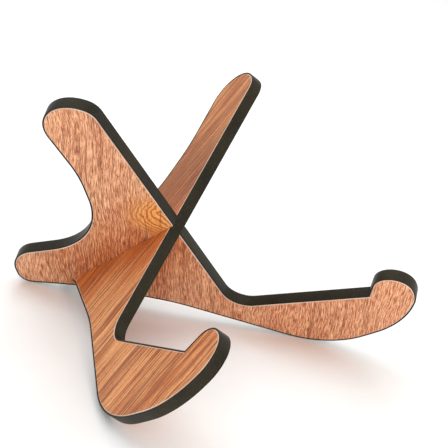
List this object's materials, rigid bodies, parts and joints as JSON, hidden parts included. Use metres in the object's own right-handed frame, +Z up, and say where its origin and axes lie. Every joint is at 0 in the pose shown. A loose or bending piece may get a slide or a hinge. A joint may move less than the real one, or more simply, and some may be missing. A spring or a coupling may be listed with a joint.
{
  "type": "guitar stand",
  "caption": "Knock-down guitar stand: crossed veneered boards on a sloping half-lap, with back-rest arms, rear legs, sloping seats and upturned front hooks.",
  "frame": {"origin": "on the floor, under the middle of the stand's bounding box", "axes": "+Z up, +Y to the back, so the hooks face -Y, +X across the stand; the stand's plane of symmetry is X = 0"},
  "size_m": [0.321, 0.3772, 0.2515],
  "materials": {
    "board_core": "raw board",
    "veneer": "satin lacquered reddish veneer",
    "edging": "charcoal satin edging strip"
  },
  "bodies": {
    "right_board": {"right_board_core": "board_core", "right_board_front_veneer": "veneer", "right_board_rear_veneer": "veneer", "right_board_long_edging": "edging", "right_board_seat_edging": "edging"},
    "left_board": {"left_board_core": "board_core", "left_board_front_veneer": "veneer", "left_board_rear_veneer": "veneer", "left_board_long_edging": "edging", "left_board_foot_edging": "edging"}
  },
  "joints": [
    {"name": "half_lap_slide", "type": "slide", "parent": "right_board", "child": "left_board", "axis": [0, -0.7724, 0.6351], "range_m": [0, 0.086]}
  ]
}
